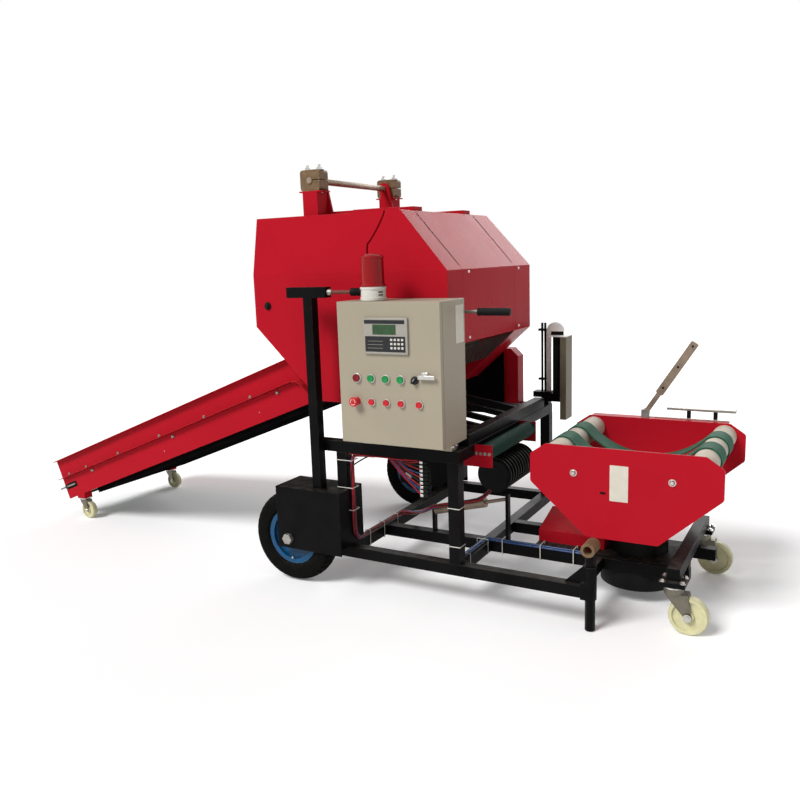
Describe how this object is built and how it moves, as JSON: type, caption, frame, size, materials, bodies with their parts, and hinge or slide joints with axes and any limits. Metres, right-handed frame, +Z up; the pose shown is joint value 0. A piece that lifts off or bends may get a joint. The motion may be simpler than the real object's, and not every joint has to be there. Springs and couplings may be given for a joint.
{
  "type": "stationary silage baler and bale wrapper",
  "caption": "Towed silage baler: sloping feed conveyor, roller bale chamber with a swinging gate, slatted bale ramp and a belt turntable that wraps the bale in film.",
  "frame": {"origin": "on the ground under the middle of the machine's overall box", "axes": "+X along the machine from the feed conveyor to the wrapper, +Y away from the operator's side, +Z up"},
  "size_m": [3.7586, 1.436, 1.882],
  "materials": {
    "red_paint": "gloss red enamel on sheet steel",
    "black_paint": "satin black enamel on square tube",
    "tyre_rubber": "matt black rubber",
    "blue_rim": "blue enamel on a pressed steel rim",
    "zinc": "zinc plated steel",
    "cream_nylon": "cream yellow nylon",
    "green_belt": "dark green conveyor belting",
    "cream_roller": "dusty cream coated roller",
    "beige_cabinet": "light beige powder coat",
    "panel_plastic": "black instrument housing with coloured buttons",
    "beacon_red": "clear red beacon lens on a white base",
    "bare_steel": "dull oily steel",
    "bronze_block": "olive bronze casting",
    "dark_machine": "dark painted casting",
    "red_wire": "red sleeved wires",
    "blue_hose": "blue air hose"
  },
  "bodies": {
    "chassis": {"frame_rails": "black_paint", "frame_cross_beams": "black_paint", "frame_uprights": "black_paint", "bale_ramp": "black_paint", "fenders": "black_paint", "conveyor_belly": "black_paint", "end_beam": "black_paint", "push_handle": "black_paint", "film_stand": "black_paint", "chamber_front": "red_paint", "front_covers": "red_paint", "hinge_posts": "red_paint", "conveyor_sides": "red_paint", "drive_guards": "red_paint", "tail_castor_mounts": "red_paint", "wheel_axles": "zinc", "film_strap": "zinc", "conveyor_belt": "green_belt", "transfer_roller": "green_belt", "control_case": "beige_cabinet", "beacon": "beacon_red", "chamber_rollers": "bare_steel", "hinge_shaft": "bare_steel", "conveyor_drums": "bare_steel", "transfer_cylinder": "bare_steel", "film_guide": "bare_steel", "hinge_blocks": "bronze_block", "motor": "dark_machine", "wrapper_base": "dark_machine", "valve_block": "dark_machine", "wire_harness": "red_wire", "air_hose": "blue_hose"},
    "wheel_near": {"tyre_near": "tyre_rubber", "rim_near": "blue_rim"},
    "wheel_far": {"tyre_far": "tyre_rubber", "rim_far": "blue_rim"},
    "gate": {"gate_shell": "red_paint", "gate_covers": "red_paint", "gate_rollers": "bare_steel", "gate_arms": "red_paint", "gate_handle": "red_paint"},
    "control_door": {"control_door": "beige_cabinet", "control_panel": "panel_plastic"},
    "parking_leg": {"parking_leg": "black_paint"},
    "turntable": {"wrapper_plates": "red_paint", "wrapper_floor": "red_paint", "wrapper_rollers": "cream_roller", "wrapper_belts": "green_belt", "cutter_bar": "zinc"},
    "cutter_lever": {"cutter_arm": "bare_steel"},
    "film_roller": {"film_roller": "dark_machine"},
    "castor_tail_near": {"castor_fork_tail_near": "zinc"},
    "castor_tail_near_wheel": {"castor_wheel_tail_near": "cream_nylon"},
    "castor_tail_far": {"castor_fork_tail_far": "zinc"},
    "castor_tail_far_wheel": {"castor_wheel_tail_far": "cream_nylon"},
    "castor_wrap_near": {"castor_fork_wrap_near": "zinc"},
    "castor_wrap_near_wheel": {"castor_wheel_wrap_near": "cream_nylon"},
    "castor_wrap_far": {"castor_fork_wrap_far": "zinc"},
    "castor_wrap_far_wheel": {"castor_wheel_wrap_far": "cream_nylon"}
  },
  "joints": [
    {"name": "wheel_near_spin", "type": "hinge", "parent": "chassis", "child": "wheel_near", "pos_m": [0.062, -0.585, 0.212], "axis": [0, 1, 0], "continuous": true},
    {"name": "wheel_far_spin", "type": "hinge", "parent": "chassis", "child": "wheel_far", "pos_m": [0.062, 0.625, 0.212], "axis": [0, 1, 0], "continuous": true},
    {"name": "gate_hinge", "type": "hinge", "parent": "chassis", "child": "gate", "pos_m": [0.09, 0, 1.812], "axis": [0, -1, 0], "range_deg": [0, 60]},
    {"name": "control_door_hinge", "type": "hinge", "parent": "chassis", "child": "control_door", "pos_m": [0.407, -0.69, 0.996], "axis": [0, 0, -1], "range_deg": [0, 110]},
    {"name": "parking_leg_slide", "type": "slide", "parent": "chassis", "child": "parking_leg", "axis": [0, 0, 1], "range_m": [0, 0.06]},
    {"name": "turntable_spin", "type": "hinge", "parent": "chassis", "child": "turntable", "pos_m": [1.505, -0.08, 0.31], "axis": [0, 0, 1], "continuous": true},
    {"name": "cutter_lever_hinge", "type": "hinge", "parent": "turntable", "child": "cutter_lever", "pos_m": [1.449, 0.257, 0.722], "axis": [0, 1, 0], "range_deg": [0, 48]},
    {"name": "film_roller_spin", "type": "hinge", "parent": "chassis", "child": "film_roller", "pos_m": [0.924, 0.563, 0.885], "axis": [0, 0, 1], "continuous": true},
    {"name": "castor_tail_near_swivel", "type": "hinge", "parent": "chassis", "child": "castor_tail_near", "pos_m": [-1.662, -0.365, 0.1], "axis": [0, 0, 1], "continuous": true},
    {"name": "castor_tail_near_spin", "type": "hinge", "parent": "castor_tail_near", "child": "castor_tail_near_wheel", "pos_m": [-1.63, -0.365, 0.05], "axis": [0, 1, 0], "continuous": true},
    {"name": "castor_tail_far_swivel", "type": "hinge", "parent": "chassis", "child": "castor_tail_far", "pos_m": [-1.662, 0.325, 0.1], "axis": [0, 0, 1], "continuous": true},
    {"name": "castor_tail_far_spin", "type": "hinge", "parent": "castor_tail_far", "child": "castor_tail_far_wheel", "pos_m": [-1.63, 0.325, 0.05], "axis": [0, 1, 0], "continuous": true},
    {"name": "castor_wrap_near_swivel", "type": "hinge", "parent": "chassis", "child": "castor_wrap_near", "pos_m": [1.713, -0.413, 0.15], "axis": [0, 0, 1], "continuous": true},
    {"name": "castor_wrap_near_spin", "type": "hinge", "parent": "castor_wrap_near", "child": "castor_wrap_near_wheel", "pos_m": [1.77, -0.413, 0.075], "axis": [0, 1, 0], "continuous": true},
    {"name": "castor_wrap_far_swivel", "type": "hinge", "parent": "chassis", "child": "castor_wrap_far", "pos_m": [1.713, 0.25, 0.15], "axis": [0, 0, 1], "continuous": true},
    {"name": "castor_wrap_far_spin", "type": "hinge", "parent": "castor_wrap_far", "child": "castor_wrap_far_wheel", "pos_m": [1.77, 0.25, 0.075], "axis": [0, 1, 0], "continuous": true}
  ]
}
